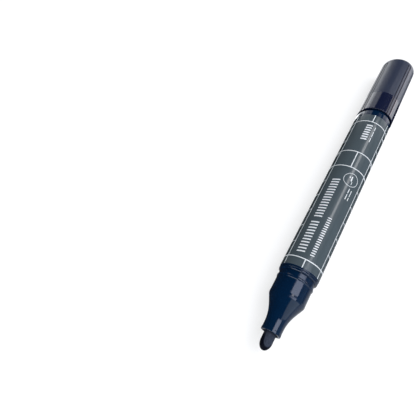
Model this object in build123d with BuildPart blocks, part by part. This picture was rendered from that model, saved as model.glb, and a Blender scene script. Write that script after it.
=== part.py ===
"""Whiteboard marker with a bullet nib, shown uncapped with its cap posted on the rear end.

The marker lies along X: the nib points to -X and the cap's closed end to +X.
The origin is on the axis, at the label's front edge, where the full-width barrel begins.
Every piece is turned about the X axis from an outline of (x, radius) points. Millimetres, +Z up.
"""

from build123d import *
import os

# ---------------------------------------------------------------- driving dimensions

body_od = 16.0              # over the label
label_thickness = 0.08      # printed film
film_thickness = 0.08       # skin round the ink reservoir
glue_gap = 0.01             # between a film and what it is wrapped on
press_gap = 0.02            # between a pressed-in piece and its seat
slide_gap = 0.05            # round a piece that slides by hand

label_front_x = 0.0
label_rear_x = 83.0
barrel_front_x = -0.8
barrel_rear_x = 86.1
collar_x = -1.8             # the face that the cap's mouth meets when the marker is capped

nose_r = 7.15               # the cylinder that carries the cap when capped
nib_r = 2.35
nib_reach = 32.2            # nib tip ahead of the label
nib_exposed = 6.6           # nib tip ahead of the nozzle mouth

cap_length = 37.2
cap_mouth_r = 8.15
cap_end_r = 7.8
cap_posted_x = 87.3         # where the cap's mouth stands when the cap is posted

# ---------------------------------------------------------------- derived dimensions

label_r = body_od / 2
barrel_r = label_r - label_thickness - glue_gap
barrel_bore_r = 7.0
barrel_edge_round = 0.4
seam_round = 0.3            # on both sides of the seam between the barrel and the collar

mouth_x = nib_exposed - nib_reach

reservoir_r = 5.95
reservoir_front_x = 1.2
reservoir_rear_x = 77.7
film_inner_r = reservoir_r + glue_gap
film_outer_r = film_inner_r + film_thickness
reservoir_seat_r = film_outer_r + slide_gap

seat_spigot_r = barrel_bore_r - press_gap

nib_length = 40.0
nib_rear_x = nib_length - nib_reach
nib_bore_r = nib_r + slide_gap

cap_bore_r = nose_r + 0.2
cap_end_x = cap_posted_x + cap_length

quarter_turns = range(0, 360, 90)


# ---------------------------------------------------------------- barrel

rib_count = 6
rib_width = 1.0
rib_inner_r = reservoir_seat_r
rib_bite = 0.3              # how far a rib's root runs into the wall
rib_front_x = 10.2
rib_height = barrel_bore_r + rib_bite - rib_inner_r

with BuildPart() as barrel:
    with BuildSketch(Plane.XZ):
        with BuildLine():
            Line((barrel_front_x, barrel_bore_r), (barrel_front_x, barrel_r - seam_round))
            RadiusArc(
                (barrel_front_x, barrel_r - seam_round),
                (barrel_front_x + seam_round, barrel_r),
                seam_round,
            )
            Line(
                (barrel_front_x + seam_round, barrel_r),
                (barrel_rear_x - barrel_edge_round, barrel_r),
            )
            RadiusArc(
                (barrel_rear_x - barrel_edge_round, barrel_r),
                (barrel_rear_x, barrel_r - barrel_edge_round),
                barrel_edge_round,
            )
            Polyline(
                (barrel_rear_x, barrel_r - barrel_edge_round),
                (barrel_rear_x, barrel_bore_r),
                (barrel_front_x, barrel_bore_r),
            )
        make_face()
    revolve(axis=Axis.X)
    # Ribs hold the reservoir off the wall and leave air channels between them.
    with BuildSketch(Plane.YZ.offset(rib_front_x)):
        with PolarLocations(rib_inner_r + rib_height / 2, rib_count):
            Rectangle(rib_height, rib_width)
    extrude(amount=reservoir_rear_x - rib_front_x)

# ---------------------------------------------------------------- label film

label_seam_deg = 2.5        # the butt gap where the film's two edges meet
label_seam_at = 250         # angle about X, on the underside

with BuildPart() as label_wrap:
    with BuildSketch(Plane.XY.rotated((label_seam_at, 0, 0))):
        with BuildLine():
            Polyline(
                (label_front_x, label_r - label_thickness),
                (label_front_x, label_r),
                (label_rear_x, label_r),
                (label_rear_x, label_r - label_thickness),
                close=True,
            )
        make_face()
    revolve(axis=Axis.X, revolution_arc=360 - label_seam_deg)

# ---------------------------------------------------------------- front section with its nozzle

nozzle_r = 3.88             # lip round the mouth
neck_r = 3.80               # just behind the lip
lip_length = 1.0
lip_round = 0.25
recess_r = 3.0              # the open ring round the nib
recess_depth = 1.6
flare_front_x = -23.0
shoulder_x = -12.1
shoulder_r = 7.05
shoulder_rise = 0.46        # steepness of the flare where it meets the shoulder
shoulder_width = 0.8
shoulder_lift = 0.05        # the shoulder stands this far above the cylinder behind it
nose_bead_x = -4.25
nose_bead_r = cap_bore_r + 0.06  # the cap's mouth snaps over it
bead_width = 1.2
collar_edge_round = 0.6
guide_rear_x = -14.8        # end of the long bore that guides the nib
cavity_front_x = -8.8
cavity_r = 5.4
spigot_rear_x = 7.2
spigot_lead = 0.5

with BuildPart() as front_section:
    with BuildSketch(Plane.XZ):
        with BuildLine():
            RadiusArc((mouth_x, nozzle_r - lip_round), (mouth_x + lip_round, nozzle_r), lip_round)
            Line((mouth_x + lip_round, nozzle_r), (mouth_x + lip_length, nozzle_r))
            Line((mouth_x + lip_length, nozzle_r), (mouth_x + lip_length + lip_round, neck_r))
            Line((mouth_x + lip_length + lip_round, neck_r), (flare_front_x, neck_r))
            # The flare leaves the neck parallel to the axis and meets the shoulder at a slope.
            Spline(
                (flare_front_x, neck_r),
                (shoulder_x, shoulder_r),
                tangents=[(1, 0), (1, shoulder_rise)],
            )
            Polyline(
                (shoulder_x, shoulder_r),
                (shoulder_x + shoulder_width, nose_r + shoulder_lift),
                (shoulder_x + 2 * shoulder_width, nose_r),
                (nose_bead_x - bead_width / 2, nose_r),
            )
            ThreePointArc(
                (nose_bead_x - bead_width / 2, nose_r),
                (nose_bead_x, nose_bead_r),
                (nose_bead_x + bead_width / 2, nose_r),
            )
            Polyline(
                (nose_bead_x + bead_width / 2, nose_r),
                (collar_x, nose_r),
                (collar_x, barrel_r - collar_edge_round),
            )
            RadiusArc(
                (collar_x, barrel_r - collar_edge_round),
                (collar_x + collar_edge_round, barrel_r),
                collar_edge_round,
            )
            Line(
                (collar_x + collar_edge_round, barrel_r),
                (barrel_front_x - seam_round, barrel_r),
            )
            RadiusArc(
                (barrel_front_x - seam_round, barrel_r),
                (barrel_front_x, barrel_r - seam_round),
                seam_round,
            )
            Polyline(
                (barrel_front_x, barrel_r - seam_round),
                (barrel_front_x, seat_spigot_r),
                (spigot_rear_x - spigot_lead, seat_spigot_r),
                (spigot_rear_x, seat_spigot_r - spigot_lead / 2),
                (spigot_rear_x, reservoir_seat_r),
                (reservoir_front_x, reservoir_seat_r),
                (reservoir_front_x, cavity_r),
                (cavity_front_x, cavity_r),
                (guide_rear_x, nib_bore_r),
                (mouth_x + recess_depth, nib_bore_r),
                (mouth_x + recess_depth, recess_r),
                (mouth_x, recess_r),
                (mouth_x, nozzle_r - lip_round),
            )
        make_face()
    revolve(axis=Axis.X)

# ---------------------------------------------------------------- nib

nib_dome = 3.6              # length of the rounded tip
nib_rear_chamfer = 0.4

with BuildPart() as nib:
    with BuildSketch(Plane.XZ):
        with BuildLine():
            EllipticalCenterArc(
                (nib_dome - nib_reach, 0), nib_dome, nib_r, start_angle=90, arc_size=90
            )
            Polyline(
                (nib_dome - nib_reach, nib_r),
                (nib_rear_x - nib_rear_chamfer, nib_r),
                (nib_rear_x, nib_r - nib_rear_chamfer),
                (nib_rear_x, 0),
                (-nib_reach, 0),
            )
        make_face()
    revolve(axis=Axis.X)

# ---------------------------------------------------------------- ink reservoir and its film

nib_socket_clearance = 0.6  # ink-soaked fibre left free behind the nib

with BuildPart() as ink_reservoir:
    with BuildSketch(Plane.XZ):
        with BuildLine():
            Polyline(
                (reservoir_front_x, nib_bore_r),
                (reservoir_front_x, reservoir_r),
                (reservoir_rear_x, reservoir_r),
                (reservoir_rear_x, 0),
                (nib_rear_x + nib_socket_clearance, 0),
                (nib_rear_x + nib_socket_clearance, nib_bore_r),
                close=True,
            )
        make_face()
    revolve(axis=Axis.X)

with BuildPart() as reservoir_film:
    with BuildSketch(Plane.YZ.offset(reservoir_front_x)):
        Circle(film_outer_r)
        Circle(film_inner_r, mode=Mode.SUBTRACT)
    extrude(amount=reservoir_rear_x - reservoir_front_x)

# ---------------------------------------------------------------- rear plug

plug_head_r = 7.2
plug_rear_x = 93.1
plug_round = 1.6
plug_bead_x = 89.7
plug_bead_r = cap_bore_r - slide_gap
plug_spigot_x = 78.2
plug_hollow_r = 5.5
plug_end_wall = 1.4

with BuildPart() as rear_plug:
    with BuildSketch(Plane.XZ):
        with BuildLine():
            Polyline(
                (plug_spigot_x, plug_hollow_r),
                (plug_spigot_x, seat_spigot_r - spigot_lead / 2),
                (plug_spigot_x + spigot_lead, seat_spigot_r),
                (barrel_rear_x, seat_spigot_r),
                (barrel_rear_x, plug_head_r),
                (plug_bead_x - bead_width / 2, plug_head_r),
            )
            ThreePointArc(
                (plug_bead_x - bead_width / 2, plug_head_r),
                (plug_bead_x, plug_bead_r),
                (plug_bead_x + bead_width / 2, plug_head_r),
            )
            Line((plug_bead_x + bead_width / 2, plug_head_r), (plug_rear_x - plug_round, plug_head_r))
            RadiusArc(
                (plug_rear_x - plug_round, plug_head_r),
                (plug_rear_x, plug_head_r - plug_round),
                plug_round,
            )
            Polyline(
                (plug_rear_x, plug_head_r - plug_round),
                (plug_rear_x, 0),
                (plug_rear_x - plug_end_wall, 0),
                (plug_rear_x - plug_end_wall, plug_hollow_r),
                (plug_spigot_x, plug_hollow_r),
            )
        make_face()
    revolve(axis=Axis.X)

# ---------------------------------------------------------------- cap shell

band_length = 11.6          # the polished band next to the mouth
band_step = 0.06            # the grained part lies this much lower than the band
band_end_r = 8.05
cap_edge_round = 0.5
cap_lip_round = 0.2
cap_back_bore_r = 6.95      # bore behind the stretch that the nose enters
cap_nose_depth = 16.0
cap_bore_step = 1.0         # length of the slope between the two bores
cap_rim_r = 6.45            # inside of the rim round the end disc
cap_rim_depth = 2.4
cap_rim_round = 0.3
snap_width = 1.3            # the groove that the nose's bead clicks into
snap_depth = 0.12

flute_deg = 11.0            # a sunk strip between two fine grooves, repeated four times
flute_stop = 1.6            # plain length left at the closed end
flute_depth = 0.1
fine_groove_deg = 3.0
fine_groove_depth = 0.28
flute_at = 29               # angle of the first strip about X, from +Y towards +Z
strip_cuts = [              # angle from the strip's middle, width and depth of each cut
    (0, flute_deg, flute_depth),
    (-flute_deg / 2, fine_groove_deg, fine_groove_depth),
    (flute_deg / 2, fine_groove_deg, fine_groove_depth),
]
cut_margin = 1.0            # how far a cut runs past the surface it opens

liner_seat_x = cap_end_x - cap_rim_depth
liner_body_r = 5.2
liner_rib_count = 6
liner_rib_width = 1.0
liner_rib_height = 2.0      # its root runs into the wall
liner_rib_length = 13.0

band_end_x = cap_posted_x + band_length
flute_end_x = cap_end_x - flute_stop
snap_x = cap_posted_x + collar_x - nose_bead_x
cap_back_x = cap_posted_x + cap_nose_depth

with BuildPart() as cap_shell:
    with BuildSketch(Plane.XZ):
        with BuildLine():
            RadiusArc(
                (cap_posted_x, cap_mouth_r - cap_lip_round),
                (cap_posted_x + cap_lip_round, cap_mouth_r),
                cap_lip_round,
            )
            Polyline(
                (cap_posted_x + cap_lip_round, cap_mouth_r),
                (band_end_x, band_end_r),
                (band_end_x + band_step, band_end_r - band_step),
                (cap_end_x - cap_edge_round, cap_end_r),
            )
            RadiusArc(
                (cap_end_x - cap_edge_round, cap_end_r),
                (cap_end_x, cap_end_r - cap_edge_round),
                cap_edge_round,
            )
            Polyline(
                (cap_end_x, cap_end_r - cap_edge_round),
                (cap_end_x, cap_rim_r + cap_rim_round),
            )
            RadiusArc(
                (cap_end_x, cap_rim_r + cap_rim_round),
                (cap_end_x - cap_rim_round, cap_rim_r),
                cap_rim_round,
            )
            Polyline(
                (cap_end_x - cap_rim_round, cap_rim_r),
                (liner_seat_x, cap_rim_r),
                (cap_back_x + cap_bore_step, cap_back_bore_r),
                (cap_back_x, cap_bore_r),
                (snap_x + snap_width / 2, cap_bore_r),
            )
            ThreePointArc(
                (snap_x + snap_width / 2, cap_bore_r),
                (snap_x, cap_bore_r + snap_depth),
                (snap_x - snap_width / 2, cap_bore_r),
            )
            Polyline(
                (snap_x - snap_width / 2, cap_bore_r),
                (cap_posted_x + cap_lip_round, cap_bore_r),
                (cap_posted_x, cap_bore_r + cap_lip_round),
                (cap_posted_x, cap_mouth_r - cap_lip_round),
            )
        make_face()
    revolve(axis=Axis.X)
    # Ribs near the closed end grip the liner. The air path past the liner runs between them.
    with BuildSketch(Plane.YZ.offset(liner_seat_x)):
        with PolarLocations(liner_body_r + press_gap + liner_rib_height / 2, liner_rib_count):
            Rectangle(liner_rib_height, liner_rib_width)
    extrude(amount=-liner_rib_length)
    # Four sunk strips run from the mouth almost to the closed end, each between two fine grooves.
    for turn in quarter_turns:
        for offset_deg, width_deg, depth in strip_cuts:
            start_deg = flute_at + turn + offset_deg - width_deg / 2
            with BuildSketch(Plane.XY.rotated((start_deg, 0, 0))):
                with BuildLine():
                    Polyline(
                        (cap_posted_x - cut_margin, cap_mouth_r - depth),
                        (band_end_x, band_end_r - depth),
                        (flute_end_x, cap_end_r - depth),
                        (flute_end_x, cap_mouth_r + cut_margin),
                        (cap_posted_x - cut_margin, cap_mouth_r + cut_margin),
                        close=True,
                    )
                make_face()
            revolve(axis=Axis.X, revolution_arc=width_deg, mode=Mode.SUBTRACT)

# ---------------------------------------------------------------- cap liner

disc_r = 5.6
disc_recess = 0.5           # the disc stands this far inside the rim
disc_round = 0.45
liner_mouth_x = cap_posted_x + 16.5
liner_bore_r = nozzle_r + slide_gap
liner_lead = 0.6
liner_end_wall = 1.4
gate_recess_r = 0.95
gate_recess_depth = 0.3
gate_pip_r = 0.45
gate_pip_height = 0.25

disc_face_x = cap_end_x - disc_recess

with BuildPart() as cap_liner:
    with BuildSketch(Plane.XZ):
        with BuildLine():
            Polyline(
                (liner_mouth_x, liner_bore_r + liner_lead),
                (liner_mouth_x, liner_body_r),
                (liner_seat_x, liner_body_r),
                (liner_seat_x, disc_r),
                (disc_face_x - disc_round, disc_r),
            )
            RadiusArc(
                (disc_face_x - disc_round, disc_r), (disc_face_x, disc_r - disc_round), disc_round
            )
            Polyline(
                (disc_face_x, disc_r - disc_round),
                (disc_face_x, gate_recess_r),
                (disc_face_x - gate_recess_depth, gate_recess_r - gate_recess_depth / 2),
                (disc_face_x - gate_recess_depth, gate_pip_r),
            )
            # The pip that the mould's gate leaves in the middle of the disc.
            EllipticalCenterArc(
                (disc_face_x - gate_recess_depth, 0), gate_pip_height, gate_pip_r, arc_size=90
            )
            Polyline(
                (disc_face_x - gate_recess_depth + gate_pip_height, 0),
                (disc_face_x - liner_end_wall, 0),
                (disc_face_x - liner_end_wall, liner_bore_r),
                (liner_mouth_x + liner_lead, liner_bore_r),
                (liner_mouth_x, liner_bore_r + liner_lead),
            )
        make_face()
    revolve(axis=Axis.X)

# ---------------------------------------------------------------- labels and files

pieces = {
    "barrel": barrel,
    "label_wrap": label_wrap,
    "front_section": front_section,
    "nib": nib,
    "ink_reservoir": ink_reservoir,
    "reservoir_film": reservoir_film,
    "rear_plug": rear_plug,
    "cap_shell": cap_shell,
    "cap_liner": cap_liner,
}

os.makedirs("parts", exist_ok=True)
for node_name, piece in pieces.items():
    piece.part.label = node_name
    export_step(piece.part, f"parts/{node_name}.step")
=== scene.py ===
"""Looks for the whiteboard marker: procedural materials, printed label, felt nib, studio and camera.

The marker lies along X, nib towards -X, and the photograph's left is +Y. Lengths here are in metres, and
mm() turns millimetres into them. Places come from the CAD nodes' boxes, so the pieces follow the CAD model.
"""

import math

import bmesh
import bpy
from mathutils import Matrix, Vector, noise


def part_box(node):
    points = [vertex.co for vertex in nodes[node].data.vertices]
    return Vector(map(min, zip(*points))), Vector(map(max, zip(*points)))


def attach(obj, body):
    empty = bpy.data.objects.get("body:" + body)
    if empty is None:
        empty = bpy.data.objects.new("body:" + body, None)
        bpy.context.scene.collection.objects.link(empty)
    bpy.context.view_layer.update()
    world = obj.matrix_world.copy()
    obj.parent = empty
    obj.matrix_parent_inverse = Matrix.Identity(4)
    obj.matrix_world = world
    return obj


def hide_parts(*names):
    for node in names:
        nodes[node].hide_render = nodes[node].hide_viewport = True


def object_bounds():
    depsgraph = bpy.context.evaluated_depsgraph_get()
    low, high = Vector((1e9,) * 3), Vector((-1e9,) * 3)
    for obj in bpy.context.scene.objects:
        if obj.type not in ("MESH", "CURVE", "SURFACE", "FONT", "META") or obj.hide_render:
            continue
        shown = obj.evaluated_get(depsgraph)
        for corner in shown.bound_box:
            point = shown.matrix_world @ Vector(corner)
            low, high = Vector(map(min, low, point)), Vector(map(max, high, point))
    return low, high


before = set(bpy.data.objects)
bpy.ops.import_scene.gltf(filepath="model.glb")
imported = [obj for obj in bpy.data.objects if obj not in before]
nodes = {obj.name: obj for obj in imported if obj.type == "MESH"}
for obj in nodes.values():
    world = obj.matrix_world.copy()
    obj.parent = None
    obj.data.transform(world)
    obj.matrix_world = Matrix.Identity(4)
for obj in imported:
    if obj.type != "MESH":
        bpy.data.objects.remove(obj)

cad_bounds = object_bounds()


def mm(length):
    """Millimetres to metres."""
    return length / 1000


# ---------------------------------------------------------------- places read from the frame

label_low, label_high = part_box("label_wrap")
shell_low, shell_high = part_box("cap_shell")
nib_low, nib_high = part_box("nib")
front_low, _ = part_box("front_section")

label_front = label_low.x
label_rear = label_high.x
label_r = label_high.z
nib_tip = nib_low.x
nib_rear = nib_high.x
nib_r = nib_high.z
nozzle_mouth = front_low.x
cap_mouth = shell_low.x
cap_end = shell_high.x
floor_z = cad_bounds[0].z

# Angles round the marker run from +Z towards -Y.
facet_angle = math.radians(16)      # middle of the nib's worn, flat side
panel_middle = math.radians(-5.6)   # middle of the label's printed panel, which faces up
seam_angle = math.radians(158.75)   # middle of the label film's butt gap, underneath

# The cap is polished in a band at its mouth. Each quarter turn has one sunk strip with a fine groove along
# both of its edges, and the grooves stop short of the closed end.
band_end = cap_mouth + mm(11.6)
quarter_turn = math.pi / 2
strip_angle = math.radians(29)      # middle of the first strip, from +Y towards +Z
groove_offset = math.radians(5.5)   # from a strip's middle to each groove's middle
groove_half = math.radians(1.5)     # half a groove's width
groove_end = cap_end - mm(1.6)


# ---------------------------------------------------------------- node helpers

def new_material(name):
    """A material with its node tree and its Principled shader."""
    material = bpy.data.materials.new(name)
    material.use_nodes = True
    tree = material.node_tree
    return material, tree, tree.nodes["Principled BSDF"]


def add_node(tree, kind, inputs=None, **settings):
    """Add a shader node; an input takes either a plain value or another node's output."""
    made = tree.nodes.new("ShaderNode" + kind)
    for key, value in settings.items():
        setattr(made, key, value)
    wire(tree, made, inputs or {})
    return made


def wire(tree, target, inputs):
    """Set or connect a node's inputs by name."""
    for key, value in inputs.items():
        if isinstance(value, bpy.types.NodeSocket):
            tree.links.new(value, target.inputs[key])
        else:
            target.inputs[key].default_value = value


def object_coords(tree):
    """The piece's own coordinates, in metres, which move with it."""
    return add_node(tree, "TexCoord").outputs["Object"]


def noise_field(tree, coords, size, stretch=(1, 1, 1), detail=2.0):
    """Noise whose features are about size metres across; stretch lengthens them along each axis."""
    scale = [1 / amount for amount in stretch]
    placed = add_node(tree, "Mapping", {"Vector": coords, "Scale": scale}).outputs["Vector"]
    made = add_node(tree, "TexNoise", {"Vector": placed, "Scale": 1 / size, "Detail": detail})
    return made.outputs["Fac"]


def between(tree, factor, low, high, start=0.3, stop=0.7):
    """Low up to start, high from stop on and a ramp between; the default range stretches noise's middle."""
    made = add_node(tree, "MapRange", {
        "Value": factor, "From Min": start, "From Max": stop, "To Min": low, "To Max": high,
    })
    return made.outputs["Result"]


def mix_colour(tree, factor, first, second):
    """Blend two colours by a field."""
    # The node has a set of sockets for each data type, and these numbers are the colour ones.
    made = add_node(tree, "Mix", data_type="RGBA")
    wire(tree, made, {0: factor, 6: first, 7: second})
    return made.outputs[2]


def maths(tree, operation, first, second=0.0):
    """One arithmetic step on fields or numbers."""
    made = add_node(tree, "Math", {0: first, 1: second}, operation=operation)
    return made.outputs["Value"]


def multiply(tree, first, second):
    """Product of two fields."""
    return maths(tree, "MULTIPLY", first, second)


def split(tree, coords):
    """The three coordinates of a vector."""
    made = add_node(tree, "SeparateXYZ", {"Vector": coords})
    return made.outputs["X"], made.outputs["Y"], made.outputs["Z"]


def bump(tree, height, distance, strength=1.0, under=None):
    """A bump of the given depth in metres; under is the bump it is laid over."""
    inputs = {"Height": height, "Distance": distance, "Strength": strength}
    if under is not None:
        inputs["Normal"] = under
    return add_node(tree, "Bump", inputs).outputs["Normal"]


def along_x(tree, coords, start, stop):
    """0 before start and 1 after stop, along the marker."""
    return between(tree, split(tree, coords)[0], 0.0, 1.0, start, stop)


# ---------------------------------------------------------------- materials

def moulded_gloss():
    """Ink-coloured glossy polypropylene with faint moulding waves and hairline scratches."""
    material, tree, shader = new_material("navy_gloss_plastic")
    coords = object_coords(tree)
    clouds = noise_field(tree, coords, mm(5), detail=3)
    hairlines = noise_field(tree, coords, mm(0.12), stretch=(30, 1, 1))
    waves = noise_field(tree, coords, mm(3))
    colour = mix_colour(tree, clouds, (0.0003, 0.0072, 0.024, 1), (0.0008, 0.0105, 0.032, 1))
    normal = bump(tree, waves, mm(0.008), 0.4)
    wire(tree, shader, {
        "Base Color": colour,
        "Roughness": between(tree, hairlines, 0.07, 0.13),
        "Normal": bump(tree, hairlines, mm(0.001), 0.4, normal),
    })
    return material


def groove_shade_mask(tree, coords):
    """1 inside the cap's fine lengthwise grooves, and 0 elsewhere: the mask for the painted shade and grime
    in them.
    """
    x, y, z = split(tree, coords)
    angle = maths(tree, "ARCTAN2", z, y)
    from_quarter = maths(tree, "SUBTRACT", angle, strip_angle - quarter_turn / 2)
    folded = maths(tree, "FLOORED_MODULO", from_quarter, quarter_turn)
    off_strip = maths(tree, "ABSOLUTE", maths(tree, "SUBTRACT", folded, quarter_turn / 2))
    off_groove = maths(tree, "ABSOLUTE", maths(tree, "SUBTRACT", off_strip, groove_offset))
    side_fade = math.radians(0.2)
    end_fade = mm(0.05)
    across = between(tree, off_groove, 1.0, 0.0, groove_half - side_fade, groove_half + side_fade)
    along = between(tree, x, 1.0, 0.0, groove_end - end_fade, groove_end)
    return multiply(tree, across, along)


def moulded_satin():
    """The cap's plastic: polished in the band at the mouth, fine-grained behind it, with painted shade and
    grime in its grooves.
    """
    material, tree, shader = new_material("navy_satin_plastic")
    coords = object_coords(tree)
    band_fade = mm(0.12)
    cloudiness = 0.35           # strength of the uneven colour
    grained = along_x(tree, coords, band_end, band_end + band_fade)
    grain = noise_field(tree, coords, mm(0.11), detail=1)
    clouds = noise_field(tree, coords, mm(6), detail=3)
    painted_groove_shade = groove_shade_mask(tree, coords)
    colour = mix_colour(tree, grained, (0.0035, 0.0055, 0.021, 1), (0.020, 0.026, 0.046, 1))
    shaded = mix_colour(tree, clouds, colour, (0.012, 0.016, 0.034, 1))
    clouded = mix_colour(tree, cloudiness, colour, shaded)
    # Painted shade and grime: the grooves get a near-black colour and a weak reflection.
    wire(tree, shader, {
        "Base Color": mix_colour(tree, painted_groove_shade, clouded, (0.002, 0.002, 0.008, 1)),
        "Specular IOR Level": between(tree, painted_groove_shade, 0.5, 0.08, 0, 1),
        "Roughness": between(tree, grained, 0.11, 0.35, 0, 1),
        "Normal": bump(tree, multiply(tree, grain, grained), mm(0.010), 0.6),
    })
    return material


def printed_film():
    """The slate-grey label film: satin gloss, a little orange peel and a faint drawn grain."""
    material, tree, shader = new_material("label_film")
    coords = object_coords(tree)
    clouds = noise_field(tree, coords, mm(7), detail=4)
    peel = noise_field(tree, coords, mm(0.8))
    drawn = noise_field(tree, coords, mm(0.15), stretch=(40, 1, 1))
    colour = mix_colour(tree, clouds, (0.046, 0.059, 0.067, 1), (0.054, 0.069, 0.077, 1))
    normal = bump(tree, peel, mm(0.004), 0.5)
    wire(tree, shader, {
        "Base Color": colour,
        "Roughness": between(tree, drawn, 0.11, 0.15),
        "Normal": bump(tree, drawn, mm(0.001), 0.4, normal),
    })
    return material


def print_ink():
    """Pale grey printing ink with slightly uneven cover."""
    material, tree, shader = new_material("print_ink")
    coords = object_coords(tree)
    cover = noise_field(tree, coords, mm(0.35), detail=4)
    wire(tree, shader, {
        "Base Color": mix_colour(tree, cover, (0.50, 0.52, 0.53, 1), (0.66, 0.68, 0.69, 1)),
        "Roughness": between(tree, cover, 0.38, 0.5),
        "Normal": bump(tree, cover, mm(0.003), 0.4),
    })
    return material


def felt_shader(name, dark, pale, dryness):
    """Ink-soaked bonded fibre, drawn along the axis; dryness makes the field that turns it pale."""
    material, tree, shader = new_material(name)
    coords = object_coords(tree)
    fibres = noise_field(tree, coords, mm(0.12), stretch=(5, 1, 1), detail=3)
    clumps = noise_field(tree, coords, mm(0.7), detail=3)
    streaks = between(tree, fibres, 0.45, 1.0, 0.35, 0.65)
    cover = multiply(tree, dryness(tree, coords), streaks)
    normal = bump(tree, clumps, mm(0.05), 0.5)
    wire(tree, shader, {
        "Base Color": mix_colour(tree, cover, dark, pale),
        "Roughness": between(tree, cover, 0.55, 0.92, 0, 1),
        "Specular IOR Level": 0.06,
        "Normal": bump(tree, fibres, mm(0.06), 0.9, normal),
    })
    return material


def nib_dryness(tree, coords):
    """Dry felt on the nib's worn facet, less so by the nozzle, and wet ink on its tip and other side."""
    x, y, z = split(tree, coords)
    taper = 0.16                # narrows the dry patch towards the tip
    edge = 0.44 * nib_r         # how far out from the axis the dry patch begins
    raggedness = mm(0.35)
    fade = mm(0.35)
    up = multiply(tree, z, math.cos(facet_angle))
    outward = maths(tree, "SUBTRACT", up, multiply(tree, y, math.sin(facet_angle)))
    tapered = multiply(tree, maths(tree, "SUBTRACT", x, nozzle_mouth), taper)
    outward = maths(tree, "ADD", outward, tapered)
    ragged = multiply(tree, noise_field(tree, coords, mm(0.5), detail=3), raggedness)
    facet = between(tree, maths(tree, "ADD", outward, ragged), 0.0, 1.0, edge, edge + fade)
    by_nozzle = between(tree, x, 0.0, 0.4, nozzle_mouth - mm(2.5), nozzle_mouth - mm(0.5))
    return maths(tree, "MAXIMUM", facet, by_nozzle)


def bundle_dryness(tree, coords):
    """Patches where the reservoir holds less ink."""
    return between(tree, noise_field(tree, coords, mm(3), detail=3), 0.0, 1.0)


def wrapping_film():
    """The reservoir's milky plastic skin, a little crinkled."""
    material, tree, shader = new_material("reservoir_skin")
    coords = object_coords(tree)
    crinkle = noise_field(tree, coords, mm(1.6), stretch=(4, 1, 1), detail=3)
    wire(tree, shader, {
        "Base Color": mix_colour(tree, crinkle, (0.42, 0.44, 0.48, 1), (0.62, 0.64, 0.67, 1)),
        "Roughness": between(tree, crinkle, 0.2, 0.35),
        "Normal": bump(tree, crinkle, mm(0.05), 0.6),
    })
    return material


def cards_ahead(tree, x, off_axis, on_left):
    """Painted reflection of cards beside the nose and the label: nearly black on the left, and a grey that
    dims by the label.
    """
    nose_grey, label_grey, left_black = 0.7, 0.12, 0.03
    rear_shade = 0.8            # share of the grey lost close to the label's rear third: a painted shadow of the marker
    close_by = between(tree, off_axis, 1.0, 0.0, mm(24), mm(30))
    grey = between(tree, x, nose_grey, label_grey, mm(-5), mm(15))
    shade = multiply(tree, close_by, between(tree, x, 0.0, rear_shade, mm(55), mm(58)))
    right = multiply(tree, grey, maths(tree, "SUBTRACT", 1.0, shade))
    far_out = maths(tree, "SUBTRACT", 1.0, close_by)
    past_nib = between(tree, x, 0.0, 1.0, mm(-32), mm(-24))
    left = multiply(tree, maths(tree, "MAXIMUM", far_out, past_nib), on_left)
    return between(tree, left, right, left_black, 0, 1)


def cards_behind(tree, y, diagonal, on_left):
    """Painted reflection of cards beside the cap: lit far out on the right, and on the left brightest along
    their front edge.
    """
    right_lit, left_lit, far_left_lit, edge_lit = 2.3, 1.4, 3.6, 5.0
    right = between(tree, y, right_lit, 0.0, mm(-43), mm(-25))
    left = between(tree, y, left_lit, far_left_lit, mm(25), mm(90))
    edge = between(tree, diagonal, edge_lit, 0.0, label_rear + mm(2), label_rear + mm(4))
    left = multiply(tree, on_left, maths(tree, "MAXIMUM", left, edge))
    return maths(tree, "MAXIMUM", right, left)


def painted_reflection_cards(tree, coords):
    """Painted reflection: how bright the tabletop looks in a mirror. Diagonal edges by the label's rear end
    part the cards.
    """
    x, y, _ = split(tree, coords)
    edge_slope = 0.97
    edge_start = label_rear - mm(1.6)
    edge_fade = mm(1.5)
    off_axis = maths(tree, "ABSOLUTE", y)
    on_left = between(tree, y, 0.0, 1.0, mm(-6), mm(4))
    diagonal = maths(tree, "SUBTRACT", x, multiply(tree, off_axis, edge_slope))
    past_edge = between(tree, diagonal, 0.0, 1.0, edge_start, edge_start + edge_fade)
    ahead = cards_ahead(tree, x, off_axis, on_left)
    behind = cards_behind(tree, y, diagonal, on_left)
    return between(tree, past_edge, ahead, behind, 0, 1)


def studio_floor():
    """A plain pale tabletop, fading to white far out, that glows for mirror rays as painted reflections of
    cards laid round it.
    """
    material, tree, shader = new_material("studio_floor")
    wire(tree, shader, {
        "Base Color": (0.87, 0.87, 0.87, 1), "Roughness": 0.8, "Specular IOR Level": 0.0,
    })
    path = add_node(tree, "LightPath")
    coords = object_coords(tree)
    strength = painted_reflection_cards(tree, coords)
    # Painted reflection: the floor glows as these cards only for mirror rays.
    cards = add_node(tree, "Emission", {"Color": (0.95, 0.97, 1.0, 1), "Strength": strength})
    glow = add_node(tree, "Emission", {"Strength": 1.0})
    distance = add_node(tree, "VectorMath", {0: coords}, operation="LENGTH").outputs["Value"]
    near_glow, fade_start, fade_stop = 0.7, 0.15, 0.8
    faded = between(tree, distance, near_glow, 1.0, fade_start, fade_stop)
    share = multiply(tree, path.outputs["Is Camera Ray"], faded)
    seen = add_node(tree, "MixShader", {0: share, 1: shader.outputs[0], 2: glow.outputs[0]})
    both = add_node(tree, "MixShader", {
        0: path.outputs["Is Glossy Ray"], 1: seen.outputs[0], 2: cards.outputs[0],
    })
    tree.links.new(both.outputs[0], tree.nodes["Material Output"].inputs["Surface"])
    return material


# ---------------------------------------------------------------- mesh helpers

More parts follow.
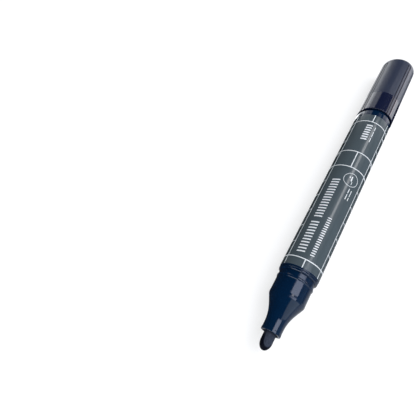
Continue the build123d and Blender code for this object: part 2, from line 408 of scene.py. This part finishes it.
def make_piece(name, mesh_builder, material, body):
    """Turn a finished bmesh into a piece that rides on a body and takes its finish from a material slot."""
    mesh = bpy.data.meshes.new(name)
    bmesh.ops.recalc_face_normals(mesh_builder, faces=mesh_builder.faces)
    mesh_builder.to_mesh(mesh)
    mesh_builder.free()
    mesh.materials.append(material)
    piece = bpy.data.objects.new(name, mesh)
    bpy.context.scene.collection.objects.link(piece)
    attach(piece, body)
    return piece


def dress(node, material):
    """Give a CAD node its procedural material."""
    mesh = nodes[node].data
    mesh.materials.clear()
    mesh.materials.append(material)


# ---------------------------------------------------------------- printed marks

print_lift = mm(0.02)       # height of the ink above the film
print_sink = mm(0.04)       # how far a mark's underside is buried in the film
arc_step = mm(0.45)         # longest facet round the barrel
circle_steps = 48           # facets in a drawn circle
stroke_slant = 0.12         # how far strokes lean towards +X, per length round the barrel

ring_line = mm(0.36)
side_line = mm(0.30)
rung_line = mm(0.26)
circle_line = mm(0.17)
title_pitch = mm(1.4)       # from one stroke of the title to the next
title_stroke = mm(0.56)
caption_gap = mm(0.6)       # between the dashes of a caption
seam_clear = mm(0.4)        # the rings stop this far from the film's gap


def around_of(degrees):
    """Arc length of an angle from the panel's middle."""
    return math.radians(degrees) * label_r


full_turn = around_of(360)
seam_around = (seam_angle - panel_middle) * label_r
panel_half = around_of(56.8)        # from the panel's middle to its side lines
ladder_width = around_of(48)        # the strip of rungs outside each side line
grid_pitch = mm(8)
rung_shift = mm(0.8)                # the rungs stand this far in front of whole pitches
front_ring = label_front + mm(3.6)
pair_rings = (label_front + mm(51.0), label_front + mm(59.8))
rear_ring = label_rear - mm(4.3)


def on_barrel(x, around, lift):
    """A point of the unrolled label: around is the arc length from the panel's middle."""
    angle = panel_middle + around / label_r
    radius = label_r + lift
    return Vector((x, -radius * math.sin(angle), radius * math.cos(angle)))


def wrap_loops(builder, first_loop, second_loop, closed=False):
    """A thin solid band between two matching rows of (x, around) points, wrapped on the barrel."""
    rows = []
    for lift in (print_lift, -print_sink):
        for loop in (first_loop, second_loop):
            rows.append([builder.verts.new(on_barrel(x, around, lift)) for x, around in loop])
    top_first, top_second, low_first, low_second = rows
    count = len(first_loop)
    last = count if closed else count - 1
    for i in range(last):
        j = (i + 1) % count
        builder.faces.new((top_first[i], top_first[j], top_second[j], top_second[i]))
        builder.faces.new((low_first[i], low_second[i], low_second[j], low_first[j]))
        builder.faces.new((top_first[i], low_first[i], low_first[j], top_first[j]))
        builder.faces.new((top_second[i], top_second[j], low_second[j], low_second[i]))
    if not closed:
        for i in (0, -1):
            builder.faces.new((top_first[i], top_second[i], low_second[i], low_first[i]))


def add_bar(builder, x_low, x_high, around_low, around_high, slant=0.0):
    """A bar between two places along the marker and two places round it; slant leans it towards +X."""
    steps = max(1, math.ceil((around_high - around_low) / arc_step))
    arounds = [around_low + (around_high - around_low) * i / steps for i in range(steps + 1)]
    first = [(x_low + slant * (a - around_low), a) for a in arounds]
    second = [(x_high + slant * (a - around_low), a) for a in arounds]
    wrap_loops(builder, first, second)


def add_circle(builder, x, around, radius, line):
    """A drawn circle."""
    turns = [2 * math.pi * i / circle_steps for i in range(circle_steps)]
    loops = []
    for r in (radius - line / 2, radius + line / 2):
        loops.append([(x + r * math.cos(t), around + r * math.sin(t)) for t in turns])
    wrap_loops(builder, loops[0], loops[1], closed=True)


def draw_grid():
    """Rings, full-length side lines, ladder rungs outside them and short links on the middle line."""
    builder = bmesh.new()
    half_ring, half_side, half_rung = ring_line / 2, side_line / 2, rung_line / 2
    ring_stop = seam_around - seam_clear
    ring_start = seam_around - full_turn + seam_clear
    for x in (front_ring, *pair_rings, rear_ring):
        add_bar(builder, x - half_ring, x + half_ring, ring_start, ring_stop)
    rungs = int((rear_ring - front_ring) / grid_pitch)
    for side in (-1, 1):
        for place in (panel_half, panel_half + ladder_width):
            middle = side * place
            add_bar(builder, label_front, label_rear, middle - half_side, middle + half_side)
        inner, outer = sorted((side * panel_half, side * (panel_half + ladder_width)))
        for i in range(1, rungs + 1):
            x = front_ring - rung_shift + i * grid_pitch
            add_bar(builder, x - half_rung, x + half_rung, inner, outer)
    links = ((label_front, front_ring), pair_rings, (rear_ring, label_rear))
    for x_low, x_high in links:
        add_bar(builder, x_low, x_high, -half_ring, half_ring)
    make_piece("print_grid", builder, ink, "body")


def add_strokes(builder, start, count, pitch, stroke, degrees):
    """A run of slanted strokes along the label, between two angles from the panel's middle."""
    low, high = (around_of(angle) for angle in degrees)
    for i in range(count):
        x = label_front + start + i * pitch
        add_bar(builder, x, x + stroke, low, high, stroke_slant)


def draw_title():
    """Two runs of bold strokes, a plain stand-in for a large printed title."""
    builder = bmesh.new()
    degrees = (-34.5, -11)
    for start, count in ((mm(5.8), 11), (mm(22.8), 15)):
        add_strokes(builder, start, count, title_pitch, title_stroke, degrees)
    make_piece("print_title_strokes", builder, ink, "body")


def draw_captions():
    """Fine strokes and dashes where smaller print would stand."""
    builder = bmesh.new()
    middle_print = mm(35.4)
    rear_print = mm(67.4)
    add_strokes(builder, mm(5.9), 18, pitch=mm(1.05), stroke=mm(0.36), degrees=(5, 17))
    add_strokes(builder, rear_print, 7, pitch=mm(1.4), stroke=mm(0.7), degrees=(-12, 6))
    # Each row of dashes: where it starts, its degrees from the panel's middle, its line and its lengths.
    dash_rows = (
        (middle_print, 25, mm(0.3), (mm(2.6), mm(2.2))),
        (middle_print, 34, mm(0.3), (mm(1.6), mm(3.0))),
        (rear_print, 17, mm(0.25), (mm(2.4), mm(3.2), mm(2.2))),
    )
    for start, degrees, line, lengths in dash_rows:
        x = label_front + start
        middle = around_of(degrees)
        for length in lengths:
            add_bar(builder, x, x + length, middle - line / 2, middle + line / 2)
            x += length + caption_gap
    make_piece("print_caption_dashes", builder, ink, "body")


def draw_pictogram():
    """A circle round a small solid wedge, a nib's tip, and the line that it draws."""
    builder = bmesh.new()
    x = label_front + mm(45.1)
    around = around_of(18)
    circle_r = mm(3.2)
    add_circle(builder, x, around, circle_r, circle_line)
    tip = [(x - mm(0.9), around + mm(0.2)), (x - mm(0.75), around + mm(0.45))]
    heel = [(x + mm(1.1), around - mm(1.2)), (x + mm(1.9), around + mm(0.2))]
    wrap_loops(builder, tip, heel)
    add_bar(builder, x - mm(2.2), x - mm(0.8), around + mm(0.6), around + mm(0.8))
    make_piece("print_pictogram", builder, ink, "body")


# ---------------------------------------------------------------- felt nib

nib_dome = mm(3.6)              # length of the rounded tip
dome_steps = 16
ring_gap = mm(0.35)             # between the rings of the straight part
ring_corners = 96
worn_plane_r = 0.92 * nib_r     # the worn side is flat, at this distance from the axis
rear_chamfer = mm(0.8)          # greatest length of the narrowing at the rear end
rear_taper = 0.84               # the rear end's size against the rod's
felt_inset = mm(0.025)          # keeps the loose fibres inside the CAD nib's outline
fibre_height = mm(0.022)
lump_depth = mm(0.03)
tip_centre = mm(0.004)          # from the CAD nib's tip to the felt's


def rod_noise(x, angle, along, across):
    """Noise on the rod's surface: how fast it changes per metre along the rod, and how finely across it."""
    return noise.noise(Vector((x * along, math.cos(angle) * across, math.sin(angle) * across)))


def felt_radius(x, angle):
    """The felt's radius at a place along the nib and an angle from +Y towards +Z."""
    reach = min(1.0, (x - nib_tip) / nib_dome)
    smooth = nib_r * math.sqrt(1 - (1 - reach) ** 2)
    fibres = rod_noise(x, angle, along=700, across=9)
    lumps = rod_noise(x, angle, along=260, across=2.2)
    radius = smooth - felt_inset + fibre_height * fibres - lump_depth * reach * (lumps + 0.5)
    towards_worn = math.cos(angle - (math.pi / 2 + facet_angle))
    if towards_worn * radius > worn_plane_r:
        radius = worn_plane_r / towards_worn
    return radius


def felt_nib():
    """The nib as a felt rod: rounded tip, worn flat on one side, with loose fibres along it."""
    builder = bmesh.new()
    dome_turns = [math.pi / 2 * i / dome_steps for i in range(1, dome_steps + 1)]
    stations = [nib_tip + nib_dome * (1 - math.cos(turn)) for turn in dome_turns]
    while stations[-1] < nib_rear - rear_chamfer:
        stations.append(stations[-1] + ring_gap)
    corners = [2 * math.pi * i / ring_corners for i in range(ring_corners)]
    rings = []
    for x in stations:
        ring = []
        for angle in corners:
            radius = felt_radius(x, angle)
            ring.append(builder.verts.new((x, radius * math.cos(angle), radius * math.sin(angle))))
        rings.append(ring)
    rear_points = [(nib_rear, vert.co.y * rear_taper, vert.co.z * rear_taper) for vert in rings[-1]]
    rings.append([builder.verts.new(point) for point in rear_points])
    for first, second in zip(rings, rings[1:]):
        for i in range(ring_corners):
            j = (i + 1) % ring_corners
            builder.faces.new((first[i], first[j], second[j], second[i]))
    for ring, x in ((rings[0], nib_tip + tip_centre), (rings[-1], nib_rear)):
        centre = builder.verts.new((x, 0, 0))
        for i in range(ring_corners):
            builder.faces.new((centre, ring[i], ring[(i + 1) % ring_corners]))
    piece = make_piece("nib_felt", builder, felt, "nib_unit")
    for face in piece.data.polygons:
        face.use_smooth = True
    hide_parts("nib")


# ---------------------------------------------------------------- dressing the CAD nodes

gloss = moulded_gloss()
satin = moulded_satin()
film = printed_film()
ink = print_ink()
felt = felt_shader("nib_felt", (0.0008, 0.0014, 0.006, 1), (0.037, 0.044, 0.064, 1), nib_dryness)
fibre = felt_shader("reservoir_fibre", (0.004, 0.005, 0.012, 1), (0.020, 0.022, 0.034, 1), bundle_dryness)

for node_name in ("barrel", "front_section", "rear_plug"):
    dress(node_name, gloss)
for node_name in ("cap_shell", "cap_liner"):
    dress(node_name, satin)
dress("label_wrap", film)
dress("ink_reservoir", fibre)
dress("reservoir_film", wrapping_film())

felt_nib()
draw_grid()
draw_title()
draw_captions()
draw_pictogram()


# ---------------------------------------------------------------- studio

def build_floor():
    """A wide pale floor under the marker."""
    floor_radius = 3.0
    builder = bmesh.new()
    bmesh.ops.create_circle(builder, cap_ends=True, segments=96, radius=floor_radius)
    mesh = bpy.data.meshes.new("studio_floor")
    builder.to_mesh(mesh)
    builder.free()
    mesh.materials.append(studio_floor())
    floor = bpy.data.objects.new("studio_floor", mesh)
    floor.location.z = floor_z
    bpy.context.scene.collection.objects.link(floor)


def seen_at(along, around):
    """The direction at an angle along the marker towards +X and an angle round it from +Z to -Y."""
    return Vector((
        math.sin(along),
        -math.cos(along) * math.sin(around),
        math.cos(along) * math.cos(around),
    ))


def soft_light(name, along, around, radiance, colour, mirrored=True):
    """A rectangular softbox, given by the ranges of angles, in degrees, that it fills from the marker."""
    distance = 1.5
    middle_along = math.radians(sum(along) / 2)
    middle_around = math.radians(sum(around) / 2)
    half_along = math.radians(along[1] - along[0]) / 2
    half_around = math.radians(around[1] - around[0]) / 2
    light = bpy.data.lights.new(name, "AREA")
    light.shape = "RECTANGLE"
    light.size = 2 * distance * math.cos(middle_along) * math.tan(half_around)
    light.size_y = 2 * distance * math.tan(half_along)
    light.energy = radiance * math.pi * light.size * light.size_y
    light.color = colour
    lamp = bpy.data.objects.new(name, light)
    outward = seen_at(middle_along, middle_around)
    sideways = Vector((0, -math.cos(middle_around), -math.sin(middle_around)))
    turn = Matrix((sideways, outward.cross(sideways), outward)).transposed()
    lamp.matrix_world = Matrix.Translation(distance * outward) @ turn.to_4x4()
    lamp.visible_glossy = mirrored
    bpy.context.scene.collection.objects.link(lamp)


def build_world():
    """Surroundings that look white, fill softly, and mirror as nearly black with a dim right side."""
    world = bpy.data.worlds.new("studio_world")
    bpy.context.scene.world = world
    world.use_nodes = True
    tree = world.node_tree
    tree.nodes.clear()
    path = add_node(tree, "LightPath")
    towards_left = split(tree, add_node(tree, "TexCoord").outputs["Generated"])[1]
    right_grey, left_black = 0.28, 0.02
    mirrored = between(tree, towards_left, right_grey, left_black, -0.9, -0.6)
    fill = add_node(tree, "Background", {"Color": (0.96, 0.98, 1.0, 1), "Strength": 0.2})
    dark = add_node(tree, "Background", {"Color": (0.75, 0.88, 1.0, 1), "Strength": mirrored})
    plain = add_node(tree, "Background", {"Color": (1, 1, 1, 1), "Strength": 1.0})
    lit = add_node(tree, "MixShader", {
        0: path.outputs["Is Glossy Ray"], 1: fill.outputs[0], 2: dark.outputs[0],
    })
    both = add_node(tree, "MixShader", {
        0: path.outputs["Is Camera Ray"], 1: lit.outputs[0], 2: plain.outputs[0],
    })
    out = add_node(tree, "OutputWorld")
    tree.links.new(both.outputs[0], out.inputs["Surface"])


def build_lights():
    """Boxes on the right for the nose and the label, others ahead, behind on both sides, and overhead."""
    soft_light("key_box", (-5, 21), (-2, 46), 4.1, (0.76, 0.82, 1.0))
    soft_light("label_box", (21, 46.5), (0, 47), 0.5, (0.90, 0.94, 1.0))
    soft_light("streak_box", (22.5, 46.5), (12, 25.5), 4.0, (1.0, 0.99, 1.0))
    soft_light("front_box", (-62, -7), (23, 88), 1.0, (0.86, 0.95, 1.0))
    soft_light("edge_box", (-82, -52), (-88, 10), 4.0, (0.90, 0.96, 1.0))
    soft_light("rear_left_box", (47.3, 58), (-72, -37), 1.3, (0.94, 0.96, 1.0))
    soft_light("rear_left_low_box", (47.3, 58), (-92, -72), 2.8, (0.94, 0.97, 1.0))
    soft_light("rear_right_box", (47.3, 58), (42, 72), 2.0, (0.98, 0.97, 1.0))
    soft_light("rear_right_low_box", (47.3, 58), (72, 91), 3.8, (1.0, 0.93, 0.97))
    soft_light("overhead_box", (-20, 50), (-8, 48), 2.1, (1.0, 1.0, 1.0), mirrored=False)


def build_camera():
    """A close camera above and ahead of the nib, looking down along the marker at the photo's angle."""
    elevation = math.radians(64.3)
    azimuth = math.radians(-59.7)
    back = Vector((
        math.sin(azimuth) * math.cos(elevation),
        -math.cos(azimuth) * math.cos(elevation),
        math.sin(elevation),
    ))
    lens = bpy.data.cameras.new("camera")
    lens.sensor_width = 36
    lens.lens = 31.5
    lens.clip_start = 0.005
    camera = bpy.data.objects.new("camera", lens)
    camera.location = (nib_tip - mm(19.1), mm(11.4), mm(140.0))
    camera.rotation_mode = "QUATERNION"
    camera.rotation_quaternion = (-back).to_track_quat("-Z", "Y")
    bpy.context.scene.collection.objects.link(camera)
    bpy.context.scene.camera = camera


build_floor()
build_world()
build_lights()
build_camera()
bpy.context.scene.view_settings.view_transform = "Standard"
